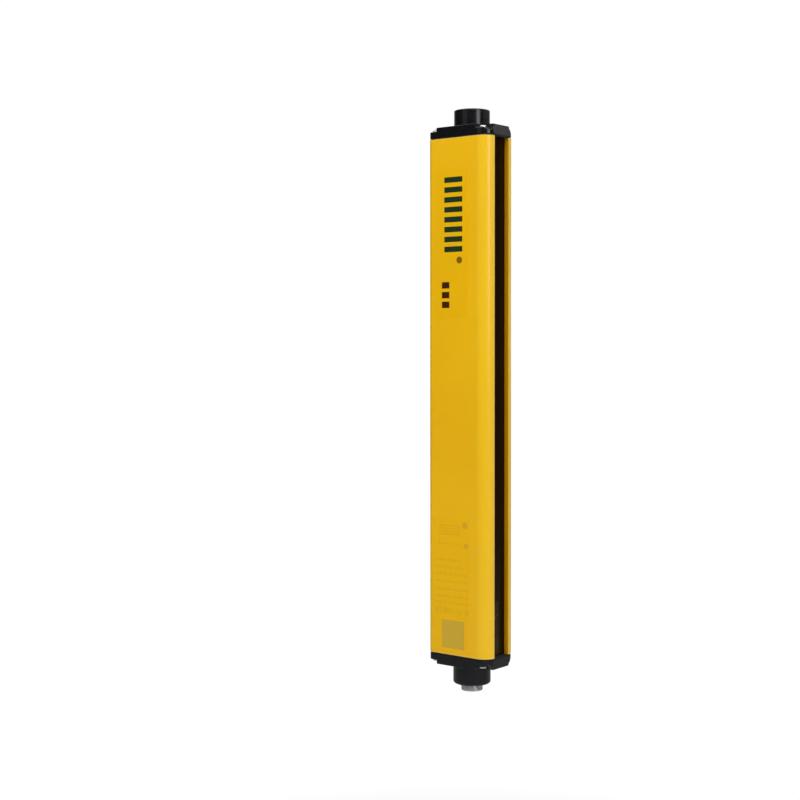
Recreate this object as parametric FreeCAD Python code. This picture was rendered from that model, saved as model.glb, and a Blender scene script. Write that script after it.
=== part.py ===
import FreeCAD, Part
import math
import os
from FreeCAD import Vector as V

os.makedirs("parts", exist_ok=True)

# ---------------------------------------------------------------- frame
# millimetres. +Z runs up the bar, the optical window faces -Y, the T-slot
# faces +Y, and the marked side face is -X. The origin is the centre of the
# lower round boss, in the plane of the shoulder that the boss stands on.

# ---------------------------------------------------------------- section
SEC_W = 51.0          # front to back (Y)
SEC_D = 35.0          # side to side (X)
R_BACK = 3.8          # back corner radius
OPEN_HALF = 8.45      # half width of the front opening
NOSE_R = 9.05         # round front corners, from the side faces to the opening
RECESS = 3.7          # window face behind the front plane
WALL = 2.1            # side wall
LIP_R = 0.45          # rounding of the front lip's edges
SLOT_MOUTH = 8.0      # T-slot mouth
SLOT_LIP = 2.3        # T-slot lip thickness
SLOT_CH = 14.0        # T-slot channel width
SLOT_CH_D = 5.2       # T-slot channel depth
PORT_R = 1.30         # tapped hole in the profile ends for the cap screws

# ---------------------------------------------------------------- heights
PROFILE_L = 360.0
PLATEAU = 8.1         # cap plateau above the profile's end
LEDGE = 5.5           # cap ledge, for the screws, above the profile's end
LEDGE_R = 0.7         # rounding of the ledge's outer edge
LEAN = 0.5            # how far the cap's front leans back
TONGUE_HALF = 9.2     # half width of the cap's front tongue
POCKET_Y = -21.3      # front end of the front screws' recess
RAMP_TOP = 7.6        # shoulders that fall from the tongue to the nose
RAMP_FOOT = 4.0
GASKET_T = 1.1        # seal between the profile's end and the cap
TOP_BOSS_H = 20.1     # boss end above the profile's end
BOT_BOSS_H = 21.8
TOP_BOSS_R = 12.6
BOT_BOSS_R = 13.2
TOP_EDGE = 0.8        # rounding of the bosses' end edges
BOT_EDGE = 1.8
# The parts are set out from a plane SET_OUT below the profile's lower end.
# save() then lifts them all, so that z = 0 is the lower cap's shoulder.
SET_OUT = 7.55
LIFT = PLATEAU - SET_OUT
ZB = SET_OUT                     # profile bottom end
ZT = ZB + PROFILE_L              # profile top end
Z_BOSS = ZB - BOT_BOSS_H         # end of the lower boss
Z_CONN = Z_BOSS - 4.8            # end of the connector's thread

# ---------------------------------------------------------------- screws
BACK_SCREW = (13.0, 21.0)
FRONT_SCREW = (12.5, -18.25)
HEAD_R = 2.75
HEAD_H = 1.3
SHANK_R = 1.25
SCREW_L = 12.0

# ---------------------------------------------------------------- optics
BEAMS = 8
PITCH = 40.0
BEAM_Z0 = ZB + 51.0
LENS_R = 7.5
WIN_T = 2.4
SEAL_T = 0.7
WIN_HALF = 10.3
BOARD_T = 1.6
BEAM_BOARD_Y = 0.0
CTRL_BOARD_Y = 9.0
LED_Z0 = 21.5
LED_PITCH = 3.8

YF = -SEC_W / 2.0     # front plane
YK = SEC_W / 2.0      # back plane
XS = SEC_D / 2.0
WIN_Y = YF + RECESS   # window's outer face
WIN_YB = WIN_Y + WIN_T
SHELF_Y = WIN_YB + SEAL_T


def box(x0, x1, y0, y1, z0, z1):
    return Part.makeBox(x1 - x0, y1 - y0, z1 - z0, V(x0, y0, z0))


def cyl(r, x, y, z0, z1):
    return Part.makeCylinder(r, z1 - z0, V(x, y, z0), V(0, 0, 1))


def cyl_y(r, x, z, y0, y1):
    return Part.makeCylinder(r, y1 - y0, V(x, y0, z), V(0, 1, 0))


def cone_y(r0, r1, x, z, y0, y1):
    return Part.makeCone(r0, r1, y1 - y0, V(x, y0, z), V(0, 1, 0))


def save(name, shape):
    shape.translate(V(0, 0, LIFT))
    shape.exportStep("parts/" + name + ".step")
    print("%-28s solids %2d  volume %10.2f mm3  valid %s" % (
        name, len(shape.Solids), shape.Volume, shape.isValid()))


def group(shapes):
    return Part.makeCompound(shapes)


# ------------------------------------------------ outline of the section
def half_outline(side):
    """Edges of one half, from the back centre to the front lip."""
    s = side
    q = R_BACK * (1 - math.sqrt(0.5))
    x1 = XS - R_BACK
    xn, yn = XS - NOSE_R, YF + NOSE_R      # centre of the nose's round
    h = NOSE_R * math.sqrt(0.5)
    P = lambda x, y: V(s * x, y, 0)
    return [
        Part.makeLine(P(0, YK), P(x1, YK)),
        Part.Arc(P(x1, YK), P(XS - q, YK - q), P(XS, YK - R_BACK)).toShape(),
        Part.makeLine(P(XS, YK - R_BACK), P(XS, yn)),
        Part.Arc(P(XS, yn), P(xn + h, yn - h), P(xn, YF)).toShape(),
    ]


def outline_face(inset=0.0):
    right = half_outline(1)
    left = half_outline(-1)
    front = Part.makeLine(V(-OPEN_HALF, YF, 0), V(OPEN_HALF, YF, 0))
    wire = Part.Wire(Part.__sortEdges__(right + left + [front]))
    if inset > 0:
        wire = wire.makeOffset2D(-inset)
        if wire.ShapeType != "Wire":
            wire = wire.Wires[0]
    return Part.Face(wire)


def prism(face, z0, z1):
    f = face.copy()
    f.translate(V(0, 0, z0))
    return f.extrude(V(0, 0, z1 - z0))


# ------------------------------------------------ housing profile
def housing():
    z0, z1 = ZB, ZT
    body = prism(outline_face(), z0, z1)
    lo, hi = z0 - 1, z1 + 1
    cuts = []
    # front opening and the groove that carries the window
    cuts.append(box(-OPEN_HALF, OPEN_HALF, YF - 1, WIN_Y + 0.01, lo, hi))
    cuts.append(box(-WIN_HALF - 0.1, WIN_HALF + 0.1, WIN_Y, SHELF_Y, lo, hi))
    # throat behind the window, then the main cavity
    cuts.append(box(-9.2, 9.2, SHELF_Y - 0.01, -14.55, lo, hi))
    cav = box(-XS + WALL, XS - WALL, -14.6, 16.0, lo, hi)
    cuts.append(cav)
    cuts.append(box(9.4, XS - WALL, 15.9, 17.3, lo, hi))
    cuts.append(box(-XS + WALL, -9.4, 15.9, 17.3, lo, hi))
    # T-slot in the back
    cuts.append(box(-SLOT_MOUTH / 2, SLOT_MOUTH / 2, YK - SLOT_LIP - 0.1, YK + 1, lo, hi))
    cuts.append(box(-SLOT_CH / 2, SLOT_CH / 2, YK - SLOT_LIP - SLOT_CH_D, YK - SLOT_LIP, lo, hi))
    for c in cuts:
        body = body.cut(c)
    # ribs that hold the two boards by their edges
    ribs = []
    for y in (BEAM_BOARD_Y, CTRL_BOARD_Y):
        for s in (-1, 1):
            xa, xb = sorted((s * 13.6, s * (XS - WALL + 0.3)))
            ribs.append(box(xa, xb, y - 1.4, y - 0.1, z0, z1))
            ribs.append(box(xa, xb, y + BOARD_T + 0.1, y + BOARD_T + 1.4, z0, z1))
    body = body.fuse(ribs)
    # tapped holes for the cap screws, both ends
    holes = []
    for (x, y) in (BACK_SCREW, FRONT_SCREW):
        for s in (-1, 1):
            holes.append(cyl(PORT_R, s * x, y, lo, z0 + 16))
            holes.append(cyl(PORT_R, s * x, y, z1 - 16, hi))
    body = body.cut(Part.makeCompound(holes))
    body = body.removeSplitter()
    # rounded edges of the front lips and of the slot mouth
    pick = []
    for e in body.Edges:
        if len(e.Vertexes) != 2 or e.Length < PROFILE_L - 1:
            continue
        p = e.Vertexes[0].Point
        if abs(abs(p.x) - OPEN_HALF) < 1e-3 and abs(p.y - YF) < 1e-3:
            pick.append(e)
        if abs(abs(p.x) - SLOT_MOUTH / 2) < 1e-3 and abs(p.y - YK) < 1e-3:
            pick.append(e)
    body = body.makeFillet(LIP_R, pick)
    return body


# ------------------------------------------------ end caps
def on_outline(wire, edge):
    m = edge.valueAt((edge.FirstParameter + edge.LastParameter) / 2.0)
    return wire.distToShape(Part.Vertex(m))[0] < 1e-3


def rounded(shape, edges, radius, what):
    """Fillet, or chamfer, at the largest size that gives one valid solid."""
    if edges:
        for work in (shape.makeFillet, shape.makeChamfer):
            for r in (radius, radius * 0.8, radius * 0.6, radius * 0.4):
                try:
                    out = work(r, edges)
                    if out.isValid() and len(out.Solids) == 1 and out.Volume < shape.Volume:
                        print(what, work.__name__, round(r, 2), "edges", len(edges))
                        return out
                except Exception:
                    pass
    print(what, "left sharp,", len(edges), "edges")
    return shape


def outer_edges(shape, inset, z):
    """The edges that lie on the cap's outline at height z."""
    ring = outline_face(inset).OuterWire
    ring.translate(V(0, 0, z))
    return [e for e in shape.Edges
            if all(abs(v.Point.z - z) < 1e-4 for v in e.Vertexes) and on_outline(ring, e)]


def cap_solid(boss_r, boss_h, boss_edge, top):
    """Cap in its own frame: the profile's end at 0, the boss up at +Z."""
    inset = 0.12
    cap = prism(outline_face(inset), GASKET_T, PLATEAU)
    big = 60.0
    # corner recesses for the screws, with a rounded inner corner
    recs = []
    for s in (-1, 1):
        for (xc, y0, y1, yc) in ((10.0, 18.0, big, 18.0), (TONGUE_HALF, POCKET_Y, -15.0, -15.0)):
            xa, xb = sorted((s * xc, s * big))
            r = box(xa, xb, y0, y1, LEDGE, 30)
            v = [e for e in r.Edges if abs(e.Length - (30 - LEDGE)) < 1e-6
                 and abs(abs(e.Vertexes[0].Point.x) - xc) < 1e-6
                 and abs(e.Vertexes[0].Point.y - yc) < 1e-6]
            recs.append(r.makeFillet(2.8, v))
    for r in recs:
        cap = cap.cut(r)
    # notch over the T-slot, down to the ledge
    cap = cap.cut(box(-4.0, 4.0, 14.0, big, LEDGE, 30))
    # shoulders: from the tongue's sides the front falls towards the nose
    run = (RAMP_TOP - RAMP_FOOT) / 1.3
    side = [(TONGUE_HALF, 30), (TONGUE_HALF, RAMP_TOP), (TONGUE_HALF + run, RAMP_FOOT), (big, RAMP_FOOT), (big, 30)]
    front = [(POCKET_Y + 0.01, 30), (POCKET_Y + 0.01, LEDGE), (POCKET_Y - 2.0, RAMP_FOOT), (-big, RAMP_FOOT), (-big, 30)]
    for s in (-1, 1):
        w = Part.makePolygon([V(s * x, -big, z) for (x, z) in side + side[:1]])
        a = Part.Face(w).extrude(V(0, big, 0))
        w = Part.makePolygon([V(-big, y, z) for (y, z) in front + front[:1]])
        b = Part.Face(w).extrude(V(2 * big, 0, 0))
        cap = cap.cut(a.common(b))
    # the front leans back towards its top
    y0 = YF + inset
    w = Part.makePolygon([V(-20, y0 - 4, GASKET_T - 0.1), V(-20, y0, GASKET_T - 0.1),
                          V(-20, y0 + LEAN, PLATEAU + 0.1), V(-20, y0 - 4, PLATEAU + 0.1),
                          V(-20, y0 - 4, GASKET_T - 0.1)])
    cap = cap.cut(Part.Face(w).extrude(V(40, 0, 0)))
    cap = cap.removeSplitter()
    cap = rounded(cap, outer_edges(cap, inset, LEDGE), LEDGE_R, "ledge edge")
    cap = rounded(cap, outer_edges(cap, inset, PLATEAU), 0.4, "shoulder edge")
    lip = [e for e in cap.Edges if all(abs(v.Point.z - PLATEAU) < 1e-4 and v.Point.y < -24.0 for v in e.Vertexes)]
    cap = rounded(cap, lip, 0.4, "tongue edge")
    ring = outline_face(inset).OuterWire
    foot = []
    for e in cap.Edges:
        m = e.valueAt((e.FirstParameter + e.LastParameter) / 2.0)
        zs = [v.Point.z for v in e.Vertexes]
        if (len(zs) == 2 and min(zs) > RAMP_FOOT - 0.01 and max(zs) < RAMP_TOP + 0.01 and m.y < POCKET_Y
                and abs(m.x) > TONGUE_HALF and ring.distToShape(Part.Vertex(V(m.x, m.y, 0)))[0] < 0.45
                and abs(e.Vertexes[0].Point.x - e.Vertexes[1].Point.x) > 0.05):
            foot.append(e)
    cap = rounded(cap, foot, 0.7, "shoulder foot")
    boss = cyl(boss_r, 0, 0, GASKET_T, boss_h)
    rim = [e for e in boss.Edges if abs(e.CenterOfMass.z - boss_h) < 1e-4 and e.Closed]
    boss = boss.makeFillet(boss_edge, rim)
    cap = cap.fuse(boss).removeSplitter()
    # hollow underside
    cap = cap.cut(box(-10.6, 10.6, -14.2, 13.0, -1, LEDGE - 1.2))
    cap = cap.cut(cyl(boss_r - 2.4, 0, 0, -1, PLATEAU - 1.0))
    if top:
        cap = cap.cut(cyl(boss_r - 2.4, 0, 0, 0, boss_h - 3.0))
    # screw holes
    for (x, y) in (BACK_SCREW, FRONT_SCREW):
        for s in (-1, 1):
            cap = cap.cut(cyl(1.7, s * x, y, -1, LEDGE + 0.5))
    return cap.removeSplitter()


def flip(shape, z_end):
    """Turn a cap over and set its profile end at z_end, keeping X and Y."""
    m = shape.mirror(V(0, 0, 0), V(0, 0, 1))
    m.translate(V(0, 0, z_end))
    return m


def top_cap():
    c = cap_solid(TOP_BOSS_R, TOP_BOSS_H, TOP_EDGE, True)
    c.translate(V(0, 0, ZT))
    return c


CONN_R = 7.85         # thread, outside
CONN_HOLE = 8.1
FLANGE_R = 9.3
END_WALL = 3.0


def bottom_cap():
    c = cap_solid(BOT_BOSS_R, BOT_BOSS_H, BOT_EDGE, False)
    h = BOT_BOSS_H
    # counterbore for the connector's flange, its hole, and the inner bore
    c = c.cut(cyl(FLANGE_R + 0.1, 0, 0, h - 2.4, h + 1))
    c = c.cut(cyl(CONN_HOLE, 0, 0, 0, h + 1))
    c = c.cut(cyl(11.0, 0, 0, 0, h - 2.4 - END_WALL))
    return flip(c.removeSplitter(), ZB)


def gasket():
    g = prism(outline_face(0.45), 0, GASKET_T)
    g = g.cut(box(-12.0, 12.0, -13.5, 14.5, -1, 2))
    for (x, y) in (BACK_SCREW, FRONT_SCREW):
        for s in (-1, 1):
            g = g.cut(cyl(1.7, s * x, y, -1, 2))
    return g


# ------------------------------------------------ screws
def screw(x, y):
    """Pan-head machine screw with a cross recess; head seated at 0, point down."""
    head = cyl(HEAD_R, x, y, 0, HEAD_H)
    rim = [e for e in head.Edges if abs(e.CenterOfMass.z - HEAD_H) < 1e-4 and e.Closed]
    head = head.makeFillet(0.8, rim)
    for (a, b) in ((1.45, 0.36), (0.36, 1.45)):
        head = head.cut(box(x - a, x + a, y - b, y + b, HEAD_H - 0.8, HEAD_H + 1))
    shank = cyl(SHANK_R, x, y, -SCREW_L, 0.2)
    tip = [e for e in shank.Edges if abs(e.CenterOfMass.z + SCREW_L) < 1e-4 and e.Closed]
    shank = shank.makeChamfer(0.4, tip)
    return head.fuse(shank).removeSplitter()


def screws(top):
    out = []
    for (x, y) in (BACK_SCREW, FRONT_SCREW):
        for s in (-1, 1):
            k = screw(s * x, y)
            if top:
                k.translate(V(0, 0, ZT + LEDGE))
            else:
                k = flip(k, ZB - LEDGE)
            out.append(k)
    return group(out)


# ------------------------------------------------ connector
def connector_shell():
    z = Z_CONN
    body = cyl(CONN_R, 0, 0, z, -1.0)
    e = [k for k in body.Edges if abs(k.CenterOfMass.z - z) < 1e-4 and k.Closed]
    body = body.makeChamfer(0.35, e)
    fl = cyl(FLANGE_R, 0, 0, Z_BOSS, Z_BOSS + 1.6)
    e = [k for k in fl.Edges if abs(k.CenterOfMass.z - Z_BOSS) < 1e-4 and k.Closed]
    fl = fl.makeChamfer(0.3, e)
    body = body.fuse(fl).removeSplitter()
    body = body.cut(cyl(6.35, 0, 0, z - 1, -9.9))
    body = body.cut(cyl(5.6, 0, 0, -10, 0))
    # keyway in the mouth
    body = body.cut(box(-0.9, 0.9, -7.05, 0, z - 1, -10.4))
    return body


def connector_insulator():
    ins = cyl(6.3, 0, 0, -10.4, -9.9 + 0.0)
    ins = ins.fuse(cyl(5.55, 0, 0, -10.0, -0.2))
    for (x, y) in pin_xy():
        ins = ins.cut(cyl(0.8, x, y, -12, 2))
    return ins.removeSplitter()


def pin_xy():
    out = [(0.0, 0.0)]
    for k in range(7):
        a = math.radians(90 + k * 360.0 / 7)
        out.append((4.0 * math.cos(a), 4.0 * math.sin(a)))
    return out


def turned(profile, x, y):
    """Solid of revolution about a vertical axis at x, y; profile is (r, z) pairs."""
    pts = [V(r, 0, z) for (r, z) in profile]
    f = Part.Face(Part.makePolygon(pts + [pts[0]]))
    s = f.revolve(V(0, 0, 0), V(0, 0, 1), 360)
    s.translate(V(x, y, 0))
    return s


def connector_pins():
    tip = Z_CONN + 4.3
    prof = [(0, tip), (0.22, tip), (0.5, tip + 0.4), (0.5, -10.3), (0.8, -10.3),
            (0.8, 3.0), (0.5, 3.0), (0.5, 0.6), (0, 0.6)]
    return group([turned(prof, x, y) for (x, y) in pin_xy()])


def connector_nut():
    r = 18.0 / 2 / math.cos(math.radians(30))
    pts = [V(r * math.cos(math.radians(60 * k)), r * math.sin(math.radians(60 * k)), 0)
           for k in range(7)]
    z0 = Z_BOSS + 2.4 + END_WALL
    n = Part.Face(Part.makePolygon(pts)).extrude(V(0, 0, 3.0))
    n.translate(V(0, 0, z0))
    return n.cut(cyl(CONN_R + 0.02, 0, 0, z0 - 1, z0 + 4))


def connector_gasket():
    z0 = Z_BOSS + 1.6
    return cyl(9.2, 0, 0, z0, z0 + 0.8).cut(cyl(CONN_R + 0.05, 0, 0, z0 - 1, z0 + 2))


# ------------------------------------------------ wires inside
def route(points, r):
    """Tube along straight runs joined by tangent arcs."""
    edges = []
    cur = points[0]
    radii = []
    for i in range(1, len(points) - 1):
        p, a, b = points[i], points[i - 1], points[i + 1]
        u = (a - p)
        w = (b - p)
        lu, lw = u.Length, w.Length
        u.normalize()
        w.normalize()
        turn = math.pi - u.getAngle(w)
        t = 0.45 * min(lu, lw)
        rad = t / math.tan(turn / 2)
        radii.append(rad)
        t0 = p + u * t
        t1 = p + w * t
        bis = (u + w)
        bis.normalize()
        mid = p + bis * (rad / math.cos(turn / 2) - rad)
        edges.append(Part.makeLine(cur, t0))
        edges.append(Part.Arc(t0, mid, t1).toShape())
        cur = t1
    edges.append(Part.makeLine(cur, points[-1]))
    spine = Part.Wire(edges)
    d = points[1] - points[0]
    prof = Part.Wire([Part.makeCircle(r, points[0], d)])
    tube = spine.makePipeShell([prof], True, True)
    want = math.pi * r * r * spine.Length
    return tube, radii, tube.Volume / want


def wires():
    px = pin_xy()
    # each solder cup to its place in the plug, 4 in the back row, 4 in front
    dest = {2: (-4.5, 7.2), 1: (-1.5, 7.2), 0: (1.5, 7.2), 7: (4.5, 7.2),
            3: (-4.5, 4.8), 4: (-1.5, 4.8), 5: (1.5, 4.8), 6: (4.5, 4.8)}
    out = []
    least = 1e9
    for i, (x, y) in enumerate(px):
        dx, dy = dest[i]
        pts = [V(x, y, 3.0), V(x, y, 6.5), V(dx, dy, 17.5), V(dx, dy, 26.0)]
        t, radii, ratio = route(pts, 0.7)
        least = min(least, min(radii))
        out.append(t)
        if abs(ratio - 1) > 0.01:
            print("wire", i, "volume ratio", ratio)
    print("wires: smallest bend radius %.2f mm" % least)
    return group(out)


def wire_plug():
    p = box(-6.2, 6.2, 3.6, 8.4, 26.0, 33.0)
    return p.makeChamfer(0.3, [e for e in p.Edges if e.Length > 6])


def wire_header():
    h = box(-7.0, 7.0, 3.0, CTRL_BOARD_Y, 33.0, 40.0)
    return h.cut(box(-6.3, 6.3, 3.5, 8.5, 32.0, 33.0))


# ------------------------------------------------ window and seals
def window():
    w = box(-WIN_HALF, WIN_HALF, WIN_Y, WIN_YB, ZB, ZT)
    return w


def window_seals():
    return group([box(s0, s1, WIN_YB, SHELF_Y, ZB, ZT)
                  for (s0, s1) in ((-WIN_HALF, -9.2), (9.2, WIN_HALF))])


def indicator_overlay():
    f = box(-OPEN_HALF + 0.1, 1.0, WIN_Y - 0.2, WIN_Y, ZB + 0.3, ZB + 38.0)
    e = [k for k in f.Edges if abs(k.Length - 0.2) < 1e-6 and k.Vertexes[0].Point.z > ZB + 10]
    return f.makeFillet(0.8, e)


# ------------------------------------------------ optics
def beam_z():
    return [BEAM_Z0 + i * PITCH for i in range(BEAMS)]


def carrier(zs):
    z0, z1 = zs[0] - PITCH / 2 + 0.15, zs[-1] + PITCH / 2 - 0.15
    c = box(-8.9, 8.9, -18.6, -14.8, z0, z1)
    add = [box(-13.2, 13.2, -1.9, -0.05, z0, z1),
           box(7.4, 8.9, -14.9, -1.8, z0, z1),
           box(-8.9, -7.4, -14.9, -1.8, z0, z1)]
    for z in zs:
        add.append(cone_y(8.6, 4.7, 0, z, -14.9, -1.8))
    for z in (z0, z1 - 1.6):
        add.append(box(-8.9, 8.9, -14.9, -1.8, z, z + 1.6))
    c = c.fuse(add).removeSplitter()
    for z in zs:
        c = c.cut(cyl_y(LENS_R + 0.05, 0, z, -19, -15.0))
        c = c.cut(cone_y(7.0, 3.3, 0, z, -15.0, -1.9))
        c = c.cut(cyl_y(3.2, 0, z, -2.0, 0.5))
    return c


def lens(z):
    """Plano-convex disc, its flat side to the window."""
    flat = cyl_y(LENS_R, 0, z, -18.5, -17.1)
    sag = 1.9
    rr = (7.2 * 7.2 + sag * sag) / (2 * sag)
    ball = Part.makeSphere(rr, V(0, -17.1 + sag - rr, z))
    crown = ball.common(cyl_y(7.2, 0, z, -17.11, -14.0))
    return flat.fuse(crown).removeSplitter()


def diode(z):
    body = cyl_y(2.5, 0, z, -3.6, -0.9)
    dome = Part.makeSphere(2.5, V(0, -3.6, z)).common(cyl_y(2.6, 0, z, -7, -3.59))
    flange = cyl_y(2.9, 0, z, -0.95, 0.0)
    return body.fuse([dome, flange]).removeSplitter()


def beam_board():
    b = box(-14.6, 14.6, BEAM_BOARD_Y, BEAM_BOARD_Y + BOARD_T, ZB + 11.5, ZT - 4)
    for z in beam_z():
        for s in (-1, 1):
            b = b.cut(cyl_y(0.45, s * 1.27, z + 12, -1, 3))
    return b


def beam_components():
    y = BEAM_BOARD_Y + BOARD_T
    out = []
    for i, z in enumerate(beam_z()):
        out.append(box(-10.0, -5.0, y, y + 1.1, z - 2.5, z + 2.5))
        for k in range(4):
            out.append(box(4.0 + 2.2 * k, 5.25 + 2.2 * k, y, y + 0.6, z - 1.0, z + 1.0))
        out.append(box(-11.5, -9.5, y, y + 0.9, z + 6.0, z + 9.2))
    return group(out)


def control_board():
    b = box(-14.6, 14.6, CTRL_BOARD_Y, CTRL_BOARD_Y + BOARD_T, ZB + 22.0, ZB + 222.0)
    for z in (ZB + 30, ZB + 214):
        b = b.cut(cyl_y(1.6, 9.5, z, 5, 15))
    return b


def control_components():
    yb = CTRL_BOARD_Y + BOARD_T
    yf = CTRL_BOARD_Y
    out = []
    # two logic chips, each with its crystal, and two output switches
    for z in (70.0, 96.0):
        out.append(box(-6.0, 6.0, yb, yb + 1.4, z - 6, z + 6))
        out.append(box(8.0, 11.2, yb, yb + 1.2, z - 5.5, z + 5.5))
    for z in (120.0, 132.0):
        out.append(box(-10.0, -3.4, yb, yb + 2.3, z - 3.3, z + 3.3))
    # supply: choke, regulator and two capacitors lying down
    out.append(box(1.0, 8.0, yb, yb + 3.4, 128.0, 136.0))
    for z in (150.0, 166.0):
        c = Part.makeCylinder(2.5, 11.0, V(-4.0, yb + 2.5, z - 5.5), V(0, 0, 1))
        out.append(c)
        c2 = Part.makeCylinder(2.5, 11.0, V(4.0, yb + 2.5, z - 5.5), V(0, 0, 1))
        out.append(c2)
    # small parts on the side that faces the beam board
    for k in range(9):
        z = 60.0 + 6.5 * k
        out.append(box(-9.0, -7.0, yf - 0.7, yf, z, z + 1.25))
        out.append(box(6.5, 8.5, yf - 0.7, yf, z + 2, z + 3.25))
    for z in (184.0, 200.0):
        out.append(box(-4.0, 4.0, yf - 1.5, yf, z - 2.5, z + 2.5))
    return group(out)


def link_header():
    y0, y1 = BEAM_BOARD_Y + BOARD_T, CTRL_BOARD_Y
    return box(-8.0, 8.0, y0, y1, 144.0, 149.0)


def indicator_leds():
    out = []
    for k in range(5):
        z = LED_Z0 + LED_PITCH * k
        out.append(box(-5.5, -2.5, -1.3, 0.0, z - 0.8, z + 0.8))
    return group(out)


def light_guide():
    g = box(-8.8, 2.0, -18.5, -16.9, 19.3, 38.4)
    add = []
    for k in range(5):
        z = LED_Z0 + LED_PITCH * k
        add.append(cyl_y(1.6, -4.0, z, -17.0, -1.5))
    add.append(box(-8.8, -7.4, -17.0, -0.05, 19.3, 38.4))
    return g.fuse(add).removeSplitter()


# ------------------------------------------------ films on the marked side
FILM_T = 0.12


def film(y_back, y_front, z0, z1):
    f = box(-XS - FILM_T, -XS, y_front, y_back, z0, z1)
    e = [k for k in f.Edges if abs(k.Length - FILM_T) < 1e-6]
    return f.makeFillet(1.2, e)


parts = [
    ("housing_profile", housing()),
    ("front_window", window()),
    ("window_seals", window_seals()),
    ("indicator_overlay", indicator_overlay()),
    ("top_end_cap", top_cap()),
    ("bottom_end_cap", bottom_cap()),
    ("top_cap_screws", screws(True)),
    ("bottom_cap_screws", screws(False)),
    ("connector_shell", connector_shell()),
    ("connector_insulator", connector_insulator()),
    ("connector_pins", connector_pins()),
    ("connector_nut", connector_nut()),
    ("connector_gasket", connector_gasket()),
    ("connector_wires", wires()),
    ("wire_plug", wire_plug()),
    ("wire_header", wire_header()),
    ("optics_carrier_lower", carrier(beam_z()[:4])),
    ("optics_carrier_upper", carrier(beam_z()[4:])),
    ("beam_lenses", group([lens(z) for z in beam_z()])),
    ("beam_diodes", group([diode(z) for z in beam_z()])),
    ("beam_board", beam_board()),
    ("beam_board_components", beam_components()),
    ("control_board", control_board()),
    ("control_board_components", control_components()),
    ("board_link_header", link_header()),
    ("indicator_leds", indicator_leds()),
    ("indicator_light_guide", light_guide()),
    ("marking_film_upper", film(YK - 7.5, YK - 34.5, 243.0, 346.0)),
    ("marking_film_lower", film(YK - 5.0, YK - 35.5, 9.6, 103.5)),
]
g = gasket()
gt = g.copy()
gt.translate(V(0, 0, ZT))
parts.append(("top_cap_gasket", gt))
parts.append(("bottom_cap_gasket", flip(g, ZB)))

for name, shape in parts:
    save(name, shape)
print("overall Z %.2f" % (TOP_BOSS_H + PROFILE_L + BOT_BOSS_H + Z_BOSS - Z_CONN),
      "from", round(Z_CONN + LIFT, 3), "to", round(ZT + TOP_BOSS_H + LIFT, 3))
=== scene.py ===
import bpy
import bmesh
import math
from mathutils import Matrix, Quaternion, Vector


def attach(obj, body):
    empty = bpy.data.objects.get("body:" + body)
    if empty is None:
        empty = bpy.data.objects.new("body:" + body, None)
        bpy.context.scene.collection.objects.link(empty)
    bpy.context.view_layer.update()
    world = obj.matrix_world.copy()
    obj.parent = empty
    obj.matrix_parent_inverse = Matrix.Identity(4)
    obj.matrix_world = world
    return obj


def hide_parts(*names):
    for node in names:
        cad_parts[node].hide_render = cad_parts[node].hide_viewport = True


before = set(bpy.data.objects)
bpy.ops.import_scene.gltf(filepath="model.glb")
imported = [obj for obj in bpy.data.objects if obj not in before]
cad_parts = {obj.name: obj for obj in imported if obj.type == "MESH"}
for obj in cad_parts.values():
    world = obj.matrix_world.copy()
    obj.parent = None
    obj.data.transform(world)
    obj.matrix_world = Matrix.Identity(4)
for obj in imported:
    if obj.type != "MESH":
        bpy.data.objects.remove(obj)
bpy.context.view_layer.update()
MM = 0.001

# ------------------------------------------------------------------ sizes
# millimetres, the same numbers as the model: z of the housing's two ends,
# the lower boss's end, the connector's end
Z_LOW, Z_TOP = 8.10, 368.10
Z_BOSS, Z_CONN = -13.70, -18.50
Y_FRONT, Y_BACK = -25.5, 25.5
X_SIDE = 17.5


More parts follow.
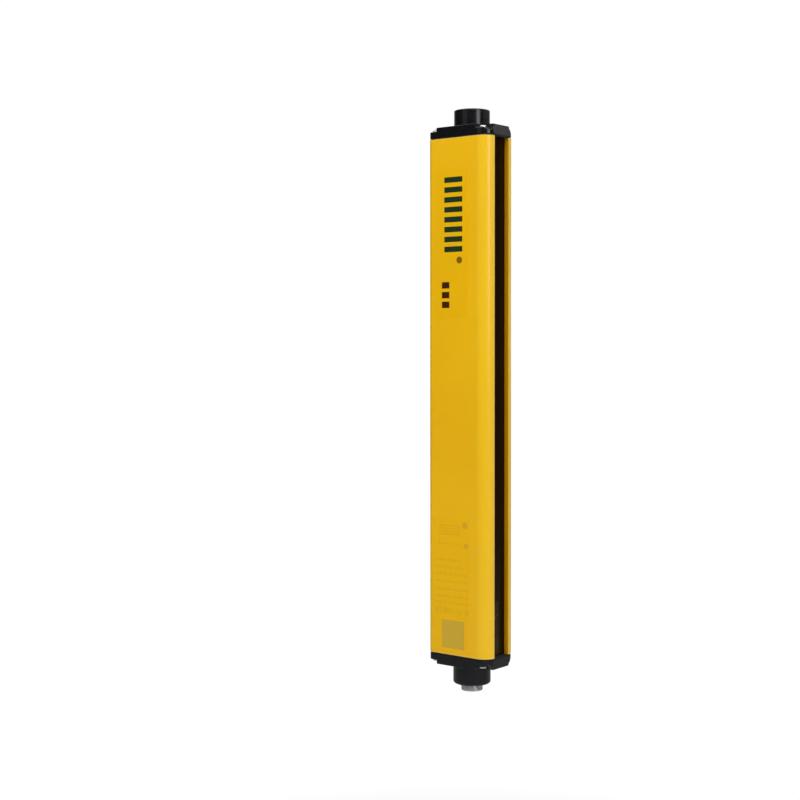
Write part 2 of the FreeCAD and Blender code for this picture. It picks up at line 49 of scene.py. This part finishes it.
# =================================================================== nodes
class Net:
    """Small helper round one material's node tree."""

    def __init__(self, name):
        self.mat = bpy.data.materials.new(name)
        self.mat.use_nodes = True
        self.t = self.mat.node_tree
        self.t.nodes.clear()
        self.out = self.t.nodes.new("ShaderNodeOutputMaterial")
        self.bsdf = self.t.nodes.new("ShaderNodeBsdfPrincipled")
        self.t.links.new(self.bsdf.outputs[0], self.out.inputs[0])
        self.coord = self.t.nodes.new("ShaderNodeTexCoord").outputs["Object"]
        self._xyz = None

    def set(self, **kw):
        names = {"base": "Base Color", "rough": "Roughness", "metal": "Metallic", "ior": "IOR",
                 "spec": "Specular IOR Level", "coat": "Coat Weight", "coat_rough": "Coat Roughness",
                 "trans": "Transmission Weight", "sheen": "Sheen Weight", "normal": "Normal",
                 "coat_normal": "Coat Normal", "aniso": "Anisotropic", "coat_ior": "Coat IOR",
                 "subsurface": "Subsurface Weight"}
        for k, v in kw.items():
            s = self.bsdf.inputs[names[k]]
            if isinstance(v, bpy.types.NodeSocket):
                self.t.links.new(v, s)
            elif isinstance(v, (tuple, list)):
                s.default_value = (*v, 1.0) if len(v) == 3 else v
            else:
                s.default_value = v
        return self

    def _put(self, socket, v):
        if isinstance(v, bpy.types.NodeSocket):
            self.t.links.new(v, socket)
        else:
            socket.default_value = v

    def math(self, op, a, b=None, c=None, clamp=False):
        n = self.t.nodes.new("ShaderNodeMath")
        n.operation = op
        n.use_clamp = clamp
        self._put(n.inputs[0], a)
        if b is not None:
            self._put(n.inputs[1], b)
        if c is not None:
            self._put(n.inputs[2], c)
        return n.outputs[0]

    def xyz(self):
        if self._xyz is None:
            n = self.t.nodes.new("ShaderNodeSeparateXYZ")
            self.t.links.new(self.coord, n.inputs[0])
            self._xyz = tuple(n.outputs)
        return self._xyz

    def scaled(self, sx, sy, sz, rot=(0, 0, 0)):
        n = self.t.nodes.new("ShaderNodeMapping")
        self.t.links.new(self.coord, n.inputs["Vector"])
        n.inputs["Scale"].default_value = (sx, sy, sz)
        n.inputs["Rotation"].default_value = rot
        return n.outputs[0]

    def noise(self, scale, detail=3.0, rough=0.5, vec=None, distort=0.0):
        n = self.t.nodes.new("ShaderNodeTexNoise")
        self.t.links.new(vec if vec is not None else self.coord, n.inputs["Vector"])
        n.inputs["Scale"].default_value = scale
        n.inputs["Detail"].default_value = detail
        n.inputs["Roughness"].default_value = rough
        n.inputs["Distortion"].default_value = distort
        return n.outputs["Fac"]

    def cells(self, scale, feature="F1", vec=None, out="Distance"):
        n = self.t.nodes.new("ShaderNodeTexVoronoi")
        n.feature = feature
        self.t.links.new(vec if vec is not None else self.coord, n.inputs["Vector"])
        n.inputs["Scale"].default_value = scale
        return n.outputs[out]

    def ramp(self, v, lo, hi, out_lo=0.0, out_hi=1.0, smooth=True):
        n = self.t.nodes.new("ShaderNodeMapRange")
        n.interpolation_type = "SMOOTHSTEP" if smooth else "LINEAR"
        n.clamp = True
        self._put(n.inputs["Value"], v)
        n.inputs["From Min"].default_value = lo
        n.inputs["From Max"].default_value = hi
        n.inputs["To Min"].default_value = out_lo
        n.inputs["To Max"].default_value = out_hi
        return n.outputs["Result"]

    def mix(self, f, a, b, mode="MIX"):
        n = self.t.nodes.new("ShaderNodeMix")
        n.data_type = "RGBA"
        n.blend_type = mode
        n.clamp_factor = True
        self._put(n.inputs[0], f)
        for s, v in ((n.inputs[6], a), (n.inputs[7], b)):
            if isinstance(v, (tuple, list)) and len(v) == 3:
                v = (*v, 1.0)
            self._put(s, v)
        return n.outputs[2]

    def colors(self, v, stops, constant=False):
        n = self.t.nodes.new("ShaderNodeValToRGB")
        self.t.links.new(v, n.inputs[0])
        cr = n.color_ramp
        cr.interpolation = "CONSTANT" if constant else "LINEAR"
        while len(cr.elements) < len(stops):
            cr.elements.new(0.5)
        for e, (p, c) in zip(cr.elements, stops):
            e.position = p
            e.color = (*c, 1.0)
        return n.outputs[0]

    def bump(self, h, strength, dist, base=None):
        n = self.t.nodes.new("ShaderNodeBump")
        n.inputs["Strength"].default_value = strength
        n.inputs["Distance"].default_value = dist
        self.t.links.new(h, n.inputs["Height"])
        if base is not None:
            self.t.links.new(base, n.inputs["Normal"])
        return n.outputs[0]

    # masks in millimetres of the row frame; soft is the edge's width
    def band(self, axis, lo, hi, soft=0.15):
        v = self.xyz()["XYZ".index(axis)]
        a = self.ramp(v, (lo - soft) * MM, (lo + soft) * MM)
        b = self.ramp(v, (hi - soft) * MM, (hi + soft) * MM, 1.0, 0.0)
        return self.math("MULTIPLY", a, b)

    def block(self, ax1, a0, a1, ax2, b0, b1, soft=0.15):
        return self.math("MULTIPLY", self.band(ax1, a0, a1, soft), self.band(ax2, b0, b1, soft))

    def disc(self, y, z, r, soft=0.15):
        _, yy, zz = self.xyz()
        dy = self.math("SUBTRACT", yy, y * MM)
        dz = self.math("SUBTRACT", zz, z * MM)
        d = self.math("SQRT", self.math("ADD", self.math("MULTIPLY", dy, dy), self.math("MULTIPLY", dz, dz)))
        return self.ramp(d, (r - soft) * MM, (r + soft) * MM, 1.0, 0.0)

    def any_of(self, masks):
        m = masks[0]
        for k in masks[1:]:
            m = self.math("MAXIMUM", m, k)
        return m


def srgb(r, g, b):
    def f(v):
        v /= 255.0
        return v / 12.92 if v <= 0.04045 else ((v + 0.055) / 1.055) ** 2.4
    return (f(r), f(g), f(b))


# ================================================================ materials
YELLOW = (0.803, 0.444, 0.0010)
YELLOW_B = (0.783, 0.425, 0.0008)
YELLOW_C = (0.816, 0.460, 0.0020)


def yellow_base(n):
    """Powder coat: slow drift in tone, then the coat's own fine mottling."""
    drift = n.noise(9.0, 2.0, 0.5)
    fine = n.noise(700.0, 3.0, 0.6)
    c = n.mix(n.ramp(drift, 0.35, 0.65), YELLOW_B, YELLOW_C)
    return n.mix(n.ramp(fine, 0.30, 0.75, 0.0, 0.35), c, YELLOW)


def peel(n, strength=0.20):
    """Orange peel and fine grain of a powder coat."""
    wide = n.noise(420.0, 2.0, 0.5)
    fine = n.noise(2600.0, 2.0, 0.5)
    b = n.bump(wide, strength, 0.00012)
    return n.bump(fine, strength * 0.5, 0.00003, b)


def mat_housing():
    n = Net("yellow powder coat")
    c = yellow_base(n)
    # painted sheen: the rounded nose is tinted paler and more lemon, a painted highlight where the nose catches the
    # light
    y = n.xyz()[1]
    nose_sheen = n.ramp(y, -22.0 * MM, -11.5 * MM, 1.0, 0.0)
    c = n.mix(n.math("MULTIPLY", nose_sheen, 0.75), c, (0.745, 0.442, 0.0060))
    # painted highlight: the front lip is tinted paler and whiter where it catches the light
    lip_highlight = n.ramp(y, -25.4 * MM, -24.4 * MM, 1.0, 0.0)
    c = n.mix(n.math("MULTIPLY", lip_highlight, 0.45), c, (0.690, 0.470, 0.0650))
    # painted shade inside the window recess and the slot: both are darkened, the recess the more the deeper in
    recess = n.block("X", -8.6, 8.6, "Y", -25.15, -21.0, 0.12)
    deep = n.ramp(y, -25.3 * MM, -22.2 * MM, 0.42, 0.68)
    c = n.mix(n.math("MULTIPLY", recess, deep), c, (0.31, 0.080, 0.001))
    slot = n.block("X", -7.4, 7.4, "Y", 17.5, 25.1, 0.25)
    c = n.mix(n.math("MULTIPLY", slot, 0.70), c, (0.24, 0.080, 0.001))
    # painted highlight: a pale line along the saw cut at both ends, where the edge catches the light
    z = n.xyz()[2]
    low = n.ramp(z, (Z_LOW + 0.25) * MM, (Z_LOW + 0.75) * MM, 1.0, 0.0)
    high = n.ramp(z, (Z_TOP - 0.75) * MM, (Z_TOP - 0.25) * MM, 0.0, 1.0)
    edge = n.math("MAXIMUM", low, high)
    outside = n.math("SUBTRACT", 1.0, n.math("MAXIMUM", recess, slot))
    edge = n.math("MULTIPLY", edge, outside)
    c = n.mix(n.math("MULTIPLY", edge, 0.62), c, (0.68, 0.49, 0.110))
    rough = n.ramp(n.noise(60.0, 3.0, 0.6), 0.3, 0.7, 0.36, 0.46)
    n.set(base=c, rough=rough, spec=0.16, coat=0.43, coat_rough=0.24, normal=peel(n))
    return n.mat


def bar_rows(n, y0, y1, z0, z1, count, fill):
    """count equal bars between z0 and z1, each fill of its pitch high."""
    pitch = (z1 - z0) / (count - 1 + fill)
    return n.any_of([n.block("Y", y0, y1, "Z", z0 + k * pitch, z0 + (k + fill) * pitch, 0.10)
                     for k in range(count)])


def mat_film_upper():
    n = Net("printed film upper")
    c = yellow_base(n)
    c = n.mix(0.5, c, (0.745, 0.408, 0.003))
    # eight plain bars, one for each beam, then a dot and three small blocks
    bars = bar_rows(n, -4.5, 11.0, 289.15, 341.00, 8, 0.56)
    dot = n.math("MULTIPLY", n.disc(-1.9, 283.40, 2.4), 0.80)
    small = bar_rows(n, 6.65, 13.10, 250.40, 268.40, 3, 0.66)
    ink = n.ramp(n.noise(900.0, 2.0, 0.5), 0.2, 0.8, 0.98, 1.0)
    c = n.mix(n.math("MULTIPLY", bars, ink), c, (0.0015, 0.0270, 0.0120))
    c = n.mix(n.math("MULTIPLY", n.math("MAXIMUM", dot, small), ink), c, (0.0440, 0.0080, 0.0005))
    rough = n.ramp(n.noise(120.0, 2.0, 0.5), 0.3, 0.7, 0.30, 0.38)
    n.set(base=c, rough=rough, spec=0.16, normal=n.bump(n.noise(300.0, 2.0, 0.5), 0.12, 0.00010))
    return n.mat


def mat_film_lower():
    n = Net("printed film lower")
    c = yellow_base(n)
    c = n.mix(0.5, c, (0.765, 0.418, 0.006))
    yb = Y_BACK
    # rows of fine marks, broken along their length
    grain = n.noise(1.0, 2.0, 0.6, vec=n.scaled(1.0, 620.0, 90.0))
    dashes = n.ramp(grain, 0.40, 0.52)
    rows = []
    for z, u1 in ((74.35, 28.6), (69.50, 35.2), (64.60, 34.8), (59.55, 34.9), (54.05, 34.6), (49.10, 35.3), (44.50, 35.3)):
        rows.append(n.block("Y", yb - u1, yb - 7.1, "Z", z - 0.65, z + 0.65, 0.35))
    rows.append(n.block("Y", yb - 28.1, yb - 9.2, "Z", 85.35, 86.75, 0.25))
    lines = n.math("MULTIPLY", n.any_of(rows), dashes)
    wide = n.math("MULTIPLY", n.block("Y", yb - 35.4, yb - 7.0, "Z", 36.90, 41.00, 0.4),
                  n.ramp(n.noise(1.0, 2.0, 0.6, vec=n.scaled(1.0, 420.0, 60.0)), 0.42, 0.54))
    head = n.math("MULTIPLY", bar_rows(n, yb - 28.1, yb - 9.5, 92.20, 99.10, 4, 0.5), 0.8)
    spots = n.math("MAXIMUM", n.disc(yb - 32.1, 99.55, 2.3, 0.4), n.disc(yb - 32.9, 85.25, 1.9, 0.4))
    c = n.mix(n.math("MULTIPLY", lines, 0.21), c, (0.36, 0.20, 0.01))
    c = n.mix(n.math("MULTIPLY", wide, 0.20), c, (0.36, 0.20, 0.01))
    c = n.mix(n.math("MULTIPLY", head, 0.30), c, (0.42, 0.25, 0.02))
    c = n.mix(n.math("MULTIPLY", spots, 0.42), c, (0.42, 0.22, 0.03))
    # plain greyish square
    square = n.block("Y", yb - 31.6, yb - 12.3, "Z", 12.60, 32.40, 0.25)
    tone = n.ramp(n.noise(500.0, 3.0, 0.6), 0.3, 0.7, 0.84, 0.96)
    c = n.mix(n.math("MULTIPLY", square, tone), c, (0.530, 0.345, 0.034))
    rough = n.ramp(n.noise(120.0, 2.0, 0.5), 0.3, 0.7, 0.30, 0.38)
    n.set(base=c, rough=rough, spec=0.16, normal=n.bump(n.noise(300.0, 2.0, 0.5), 0.12, 0.00010))
    return n.mat


def mat_cap():
    n = Net("black cap plastic")
    fine = n.noise(1500.0, 3.0, 0.6)
    wide = n.noise(40.0, 2.0, 0.5)
    c = n.mix(n.ramp(wide, 0.3, 0.7), (0.0022, 0.0022, 0.0032), (0.0034, 0.0034, 0.0048))
    c = n.mix(n.ramp(fine, 0.35, 0.8, 0.0, 0.4), c, (0.0055, 0.0055, 0.0075))
    rough = n.ramp(n.noise(220.0, 3.0, 0.6), 0.3, 0.7, 0.19, 0.26)
    b = n.bump(fine, 0.08, 0.00004)
    b = n.bump(n.cells(1900.0), 0.05, 0.00002, b)
    n.set(base=c, rough=rough, spec=0.36, normal=b)
    return n.mat


def mat_window():
    n = Net("dark window")
    c = n.mix(n.ramp(n.noise(30.0, 3.0, 0.5), 0.3, 0.7), (0.0080, 0.0026, 0.0004), (0.0100, 0.0032, 0.0005))
    rough = n.ramp(n.noise(90.0, 4.0, 0.65), 0.35, 0.75, 0.07, 0.13)
    # faint draw lines along the strip
    lines = n.noise(1.0, 2.0, 0.5, vec=n.scaled(1800.0, 1800.0, 6.0))
    n.set(base=c, rough=rough, spec=0.10, normal=n.bump(lines, 0.05, 0.00002))
    return n.mat


def mat_overlay():
    n = Net("indicator film")
    c = n.mix(n.ramp(n.noise(50.0, 3.0, 0.5), 0.3, 0.7), (0.022, 0.011, 0.0025), (0.028, 0.014, 0.0040))
    # smoked all over, so the status lights behind show only when lit
    rough = n.ramp(n.noise(90.0, 3.0, 0.6), 0.3, 0.7, 0.24, 0.29)
    n.set(base=c, rough=rough, spec=0.11, normal=n.bump(n.noise(600.0, 2.0, 0.5), 0.03, 0.00002))
    return n.mat


def mat_screw():
    n = Net("nickel screw")
    c = n.mix(n.ramp(n.noise(900.0, 3.0, 0.6), 0.3, 0.7), (0.60, 0.59, 0.58), (0.74, 0.73, 0.72))
    rough = n.ramp(n.noise(2200.0, 3.0, 0.6), 0.3, 0.7, 0.16, 0.28)
    n.set(base=c, metal=1.0, rough=rough, normal=n.bump(n.noise(3000.0, 2.0, 0.5), 0.10, 0.00003))
    return n.mat


def mat_thread():
    n = Net("nickel thread")
    grime = n.noise(500.0, 4.0, 0.65)
    c = n.mix(n.ramp(grime, 0.35, 0.7), (0.50, 0.50, 0.49), (0.86, 0.86, 0.85))
    rough = n.ramp(n.noise(1500.0, 3.0, 0.6), 0.3, 0.7, 0.06, 0.13)
    turn = n.noise(1.0, 2.0, 0.5, vec=n.scaled(120.0, 120.0, 6000.0))
    n.set(base=c, metal=1.0, rough=rough, normal=n.bump(turn, 0.12, 0.00003))
    return n.mat


def mat_simple(name, a, b, scale, rough=(0.4, 0.5), spec=0.5, metal=0.0, bump=0.1, dist=0.00005, **kw):
    """Two close tones in a noise, with the same grain in roughness and bump."""
    n = Net(name)
    f = n.noise(scale, 3.0, 0.6)
    c = n.mix(n.ramp(f, 0.3, 0.7), a, b)
    r = n.ramp(n.noise(scale * 2.3, 3.0, 0.6), 0.3, 0.7, rough[0], rough[1])
    n.set(base=c, rough=r, spec=spec, metal=metal, normal=n.bump(n.noise(scale * 4.0, 2.0, 0.5), bump, dist), **kw)
    return n.mat


def mat_wires():
    n = Net("wire jackets")
    g = n.t.nodes.new("ShaderNodeNewGeometry").outputs["Random Per Island"]
    cols = [(0.50, 0.03, 0.02), (0.02, 0.05, 0.35), (0.60, 0.55, 0.50), (0.10, 0.04, 0.02),
            (0.02, 0.25, 0.06), (0.60, 0.42, 0.02), (0.12, 0.12, 0.12), (0.60, 0.20, 0.25)]
    c = n.colors(g, [(k / 8.0, col) for k, col in enumerate(cols)], constant=True)
    c = n.mix(n.ramp(n.noise(400.0, 3.0, 0.5), 0.3, 0.7, 0.0, 0.12), c, (0.02, 0.02, 0.02))
    n.set(base=c, rough=n.ramp(n.noise(800.0, 2.0, 0.5), 0.3, 0.7, 0.40, 0.52),
          normal=n.bump(n.noise(1600.0, 2.0, 0.5), 0.08, 0.00003))
    return n.mat


def mat_board():
    n = Net("green board")
    # copper tracks under the mask: narrow lighter lines on a square grid
    x, y, z = n.xyz()
    gx = n.math("ABSOLUTE", n.math("SUBTRACT", n.math("FRACT", n.math("MULTIPLY", x, 787.4)), 0.5))
    gz = n.math("ABSOLUTE", n.math("SUBTRACT", n.math("FRACT", n.math("MULTIPLY", z, 393.7)), 0.5))
    pick = n.cells(260.0, "F1", out="Color")
    sep = n.t.nodes.new("ShaderNodeSeparateColor")
    n.t.links.new(pick, sep.inputs[0])
    run = n.math("GREATER_THAN", sep.outputs[0], 0.5)
    tx = n.ramp(gx, 0.10, 0.14, 1.0, 0.0)
    tz = n.ramp(gz, 0.05, 0.07, 1.0, 0.0)
    track = n.math("MAXIMUM", n.math("MULTIPLY", tx, run), n.math("MULTIPLY", tz, n.math("SUBTRACT", 1.0, run)))
    c = n.mix(track, (0.006, 0.075, 0.030), (0.018, 0.150, 0.058))
    c = n.mix(n.ramp(n.noise(300.0, 2.0, 0.5), 0.3, 0.7, 0.0, 0.2), c, (0.010, 0.100, 0.030))
    n.set(base=c, rough=n.ramp(n.noise(500.0, 2.0, 0.5), 0.3, 0.7, 0.22, 0.34), spec=0.5,
          normal=n.bump(track, 0.25, 0.00003))
    return n.mat


MATS = {
    "yellow": mat_housing(), "film_up": mat_film_upper(), "film_lo": mat_film_lower(),
    "cap": mat_cap(), "window": mat_window(), "overlay": mat_overlay(),
    "screw": mat_screw(), "thread": mat_thread(),
    "seal": mat_simple("seal rubber", (0.008, 0.008, 0.008), (0.014, 0.014, 0.014), 900.0, (0.65, 0.8), 0.3, bump=0.2),
    "insulator": mat_simple("insulator", (0.012, 0.012, 0.012), (0.020, 0.019, 0.018), 1200.0, (0.45, 0.6), 0.4),
    "gold": mat_simple("gold pin", (0.78, 0.55, 0.22), (0.86, 0.64, 0.30), 1500.0, (0.15, 0.28), 0.5, 1.0),
    "wires": mat_wires(),
    "nylon": mat_simple("natural nylon", (0.62, 0.59, 0.50), (0.70, 0.67, 0.58), 600.0, (0.40, 0.52), 0.4),
    "optics": mat_simple("optics carrier", (0.006, 0.006, 0.006), (0.011, 0.011, 0.011), 1300.0, (0.6, 0.75), 0.3, bump=0.2),
    "lens": mat_simple("lens", (0.80, 0.70, 0.70), (0.86, 0.78, 0.78), 300.0, (0.02, 0.05), 0.5, trans=0.95, ior=1.49, bump=0.01),
    "diode": mat_simple("diode", (0.030, 0.012, 0.035), (0.045, 0.018, 0.050), 700.0, (0.08, 0.16), 0.5, bump=0.03),
    "board": mat_board(),
    "chips": mat_simple("chip packages", (0.010, 0.010, 0.010), (0.022, 0.022, 0.022), 1800.0, (0.45, 0.62), 0.4, bump=0.2),
    "led": mat_simple("status light", (0.70, 0.62, 0.34), (0.80, 0.72, 0.44), 1500.0, (0.25, 0.4), 0.5),
    "guide": mat_simple("light guide", (0.86, 0.86, 0.86), (0.92, 0.92, 0.92), 300.0, (0.03, 0.07), 0.5, trans=0.9, ior=1.49, bump=0.01),
}

WEAR = {
    "housing_profile": "yellow", "front_window": "window", "window_seals": "seal", "indicator_overlay": "overlay",
    "top_end_cap": "cap", "bottom_end_cap": "cap", "top_cap_gasket": "seal", "bottom_cap_gasket": "seal",
    "top_cap_screws": "screw", "bottom_cap_screws": "screw", "connector_shell": "thread",
    "connector_insulator": "insulator", "connector_pins": "gold", "connector_nut": "thread",
    "connector_gasket": "seal", "connector_wires": "wires", "wire_plug": "nylon", "wire_header": "nylon",
    "optics_carrier_lower": "optics", "optics_carrier_upper": "optics", "beam_lenses": "lens",
    "beam_diodes": "diode", "beam_board": "board", "beam_board_components": "chips", "control_board": "board",
    "control_board_components": "chips", "board_link_header": "chips", "indicator_leds": "led",
    "indicator_light_guide": "guide", "marking_film_upper": "film_up", "marking_film_lower": "film_lo",
}
for name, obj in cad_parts.items():
    for s in obj.material_slots:
        s.material = MATS[WEAR[name]]


# ==================================================== the connector's thread
def threaded_shell():
    """Flanged shell with its real 16 x 1 thread, bore and keyway."""
    seg = 120
    key_half = 0.9
    key_a = math.asin(key_half / 6.35)
    angles = [2 * math.pi * k / seg for k in range(seg)]
    key_c = 1.5 * math.pi
    angles += [key_c - key_a, key_c - key_a * 0.999, key_c + key_a * 0.999, key_c + key_a]
    angles = sorted(angles)
    crest, root, pitch = 7.85, 7.30, 1.0

    def keyed(r0, r1, a):
        d = abs((a - key_c + math.pi) % (2 * math.pi) - math.pi)
        if d < key_a * 0.9995:
            return r1
        return r0

    def helix(a, z):
        """Radius of the thread: a 60 degree form with narrow flats."""
        t = ((z - Z_CONN) / pitch - a / (2 * math.pi)) % 1.0
        d = abs(t - 0.5) * 2.0            # 0 at the crest, 1 at the root
        f = min(1.0, max(0.0, (d - 0.14) / 0.66))
        f = f * f * (3 - 2 * f) * 0.35 + f * 0.65
        r = crest - (crest - root) * f
        lead = 7.42 + (z - Z_CONN) * 0.9  # chamfer at the free end
        out = root + max(0.0, (Z_BOSS - 0.45 - z)) * 2.0   # runs out before the flange
        return max(root - 0.02, min(r, lead, max(out, root)))

    rings = []

    def ring(fn):
        rings.append([fn(a) for a in angles])

    def plain(r, z):
        ring(lambda a: (r, z))

    plain(5.6, -0.45)
    plain(5.6, -9.35)
    ring(lambda a: (keyed(6.35, 7.05, a), -9.35))
    ring(lambda a: (keyed(6.35, 7.05, a), Z_CONN + 0.2))
    ring(lambda a: (keyed(6.50, 7.12, a), Z_CONN))
    rows = 92
    for k in range(rows + 1):
        z = Z_CONN + (Z_BOSS - Z_CONN) * k / rows
        ring(lambda a, z=z: (helix(a, z), z))
    plain(9.0, Z_BOSS)
    plain(9.3, Z_BOSS + 0.3)
    plain(9.3, Z_BOSS + 1.6)
    plain(7.85, Z_BOSS + 1.6)
    plain(7.85, -0.45)
    bm = bmesh.new()
    vs = [[bm.verts.new((r * math.cos(a) * MM, r * math.sin(a) * MM, z * MM))
           for (r, z), a in zip(rg, angles)] for rg in rings]
    m = len(angles)
    for i in range(len(rings)):
        j = (i + 1) % len(rings)
        for k in range(m):
            l = (k + 1) % m
            bm.faces.new((vs[i][k], vs[i][l], vs[j][l], vs[j][k]))
    bmesh.ops.recalc_face_normals(bm, faces=bm.faces)
    me = bpy.data.meshes.new("threaded_shell")
    bm.to_mesh(me)
    bm.free()
    for p in me.polygons:
        p.use_smooth = True
    me.set_sharp_from_angle(angle=math.radians(50))
    o = bpy.data.objects.new("threaded_shell", me)
    bpy.context.scene.collection.objects.link(o)
    me.materials.append(MATS["thread"])
    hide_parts("connector_shell")
    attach(o, "root")
    return o


threaded_shell()

# ==================================================================== stage
FLOOR_Z = -0.25


def stage_floor():
    me = bpy.data.meshes.new("floor")
    bm = bmesh.new()
    bmesh.ops.create_circle(bm, cap_ends=True, cap_tris=False, segments=96, radius=14.0)
    bm.to_mesh(me)
    bm.free()
    o = bpy.data.objects.new("floor", me)
    o.location = (0, 0, FLOOR_Z)
    bpy.context.scene.collection.objects.link(o)
    m = bpy.data.materials.new("pale floor")
    m.use_nodes = True
    t = m.node_tree
    t.nodes.clear()
    out = t.nodes.new("ShaderNodeOutputMaterial")
    dif = t.nodes.new("ShaderNodeBsdfDiffuse")
    dif.inputs[0].default_value = (0.80, 0.80, 0.80, 1)
    # the floor is dimmer in the object's own reflections, as past the edge of a sheet
    tone = t.nodes.new("ShaderNodeMix")
    tone.data_type = "RGBA"
    tone.inputs[6].default_value = (0.80, 0.80, 0.80, 1)
    tone.inputs[7].default_value = (0.46, 0.46, 0.46, 1)
    emi = t.nodes.new("ShaderNodeEmission")
    emi.inputs[0].default_value = (1, 1, 1, 1)
    emi.inputs[1].default_value = 1.02
    mix = t.nodes.new("ShaderNodeMixShader")
    # white sweep from about a metre out, as seen by the lens only
    tc = t.nodes.new("ShaderNodeTexCoord")
    ln = t.nodes.new("ShaderNodeVectorMath")
    ln.operation = "LENGTH"
    t.links.new(tc.outputs["Object"], ln.inputs[0])
    mr = t.nodes.new("ShaderNodeMapRange")
    mr.interpolation_type = "SMOOTHSTEP"
    mr.inputs["From Min"].default_value = 0.22
    mr.inputs["From Max"].default_value = 0.58
    t.links.new(ln.outputs["Value"], mr.inputs["Value"])
    lp = t.nodes.new("ShaderNodeLightPath")
    t.links.new(lp.outputs["Is Glossy Ray"], tone.inputs[0])
    t.links.new(tone.outputs[2], dif.inputs[0])
    mu = t.nodes.new("ShaderNodeMath")
    mu.operation = "MULTIPLY"
    t.links.new(mr.outputs["Result"], mu.inputs[0])
    t.links.new(lp.outputs["Is Camera Ray"], mu.inputs[1])
    t.links.new(mu.outputs[0], mix.inputs[0])
    t.links.new(dif.outputs[0], mix.inputs[1])
    t.links.new(emi.outputs[0], mix.inputs[2])
    t.links.new(mix.outputs[0], out.inputs[0])
    me.materials.append(m)


stage_floor()

# ==================================================================== camera
YAW, PITCH, ROLL = math.radians(38.690), math.radians(1.637), math.radians(-0.0766)
cam_data = bpy.data.cameras.new("camera")
cam_data.lens = 65.231
cam_data.sensor_width = 36.0
cam_data.sensor_fit = "HORIZONTAL"
cam_data.shift_y = -0.021
cam_data.clip_start = 0.02
cam_data.clip_end = 60.0
cam = bpy.data.objects.new("camera", cam_data)
look = Vector((math.cos(YAW) * math.cos(PITCH), math.sin(YAW) * math.cos(PITCH), -math.sin(PITCH)))
cam.location = (-0.82640, -0.59703, 0.22698)
cam.rotation_euler = (look.to_track_quat("-Z", "Y") @ Quaternion((0.0, 0.0, 1.0), ROLL)).to_euler()
bpy.context.scene.collection.objects.link(cam)
bpy.context.scene.camera = cam

# ==================================================================== lights
VIEW_A = math.atan2(-0.59703, -0.82640)      # direction of the lens, seen from the bar


def softbox(name, right_deg, dist, height, width, tall, power, aim_z=0.19, color=(1, 1, 1)):
    """Softbox at an angle to the right of the lens, seen from the bar; sizes in metres."""
    d = bpy.data.lights.new(name, "AREA")
    d.shape = "RECTANGLE"
    d.size = width
    d.size_y = tall
    d.energy = power
    d.color = color
    o = bpy.data.objects.new(name, d)
    a = VIEW_A + math.radians(right_deg)
    o.location = (dist * math.cos(a), dist * math.sin(a), height)
    aim = Vector((0, 0, aim_z)) - Vector(o.location)
    o.rotation_euler = aim.to_track_quat("-Z", "Y").to_euler()
    o.visible_camera = False
    bpy.context.scene.collection.objects.link(o)
    return o


softbox("strip right", 40.0, 1.6, 0.88, 0.58, 1.36, 13.8, color=(0.96, 0.99, 1.07))
softbox("fill left", -47, 1.6, 0.62, 0.90, 0.80, 1.1)
softbox("top front", -5, 1.5, 1.75, 1.8, 1.4, 31)
softbox("top left", -70, 1.3, 1.6, 1.0, 1.1, 10.4)
softbox("top right", 104, 1.5, 1.34, 1.8, 1.5, 7.9)
softbox("top back", 180, 1.2, 1.9, 1.8, 1.2, 12)

world = bpy.data.worlds.new("studio")
bpy.context.scene.world = world
world.use_nodes = True
w = world.node_tree
w.nodes.clear()
w_out = w.nodes.new("ShaderNodeOutputWorld")
w_tc = w.nodes.new("ShaderNodeTexCoord")
w_dot = w.nodes.new("ShaderNodeVectorMath")
w_dot.operation = "DOT_PRODUCT"
w.links.new(w_tc.outputs["Generated"], w_dot.inputs[0])
w_dot.inputs[1].default_value = (math.cos(VIEW_A), math.sin(VIEW_A), 0.0)
w_map = w.nodes.new("ShaderNodeMapRange")
w_map.interpolation_type = "SMOOTHSTEP"
w_map.inputs["From Min"].default_value = -0.94
w_map.inputs["From Max"].default_value = -0.70
w_map.inputs["To Min"].default_value = 1.0
w_map.inputs["To Max"].default_value = 0.06
w.links.new(w_dot.outputs["Value"], w_map.inputs["Value"])
w_room = w.nodes.new("ShaderNodeBackground")
w_room.inputs[0].default_value = (1, 1, 1, 1)
w.links.new(w_map.outputs["Result"], w_room.inputs[1])
w_white = w.nodes.new("ShaderNodeBackground")
w_white.inputs[0].default_value = (1, 1, 1, 1)
w_white.inputs[1].default_value = 1.02
w_mix = w.nodes.new("ShaderNodeMixShader")
w_lp = w.nodes.new("ShaderNodeLightPath")
w.links.new(w_lp.outputs["Is Camera Ray"], w_mix.inputs[0])
w.links.new(w_room.outputs[0], w_mix.inputs[1])
w.links.new(w_white.outputs[0], w_mix.inputs[2])
w.links.new(w_mix.outputs[0], w_out.inputs[0])

view = bpy.context.scene.view_settings
view.view_transform = "Standard"
view.look = "None"
view.exposure = 0.0
view.gamma = 1.0
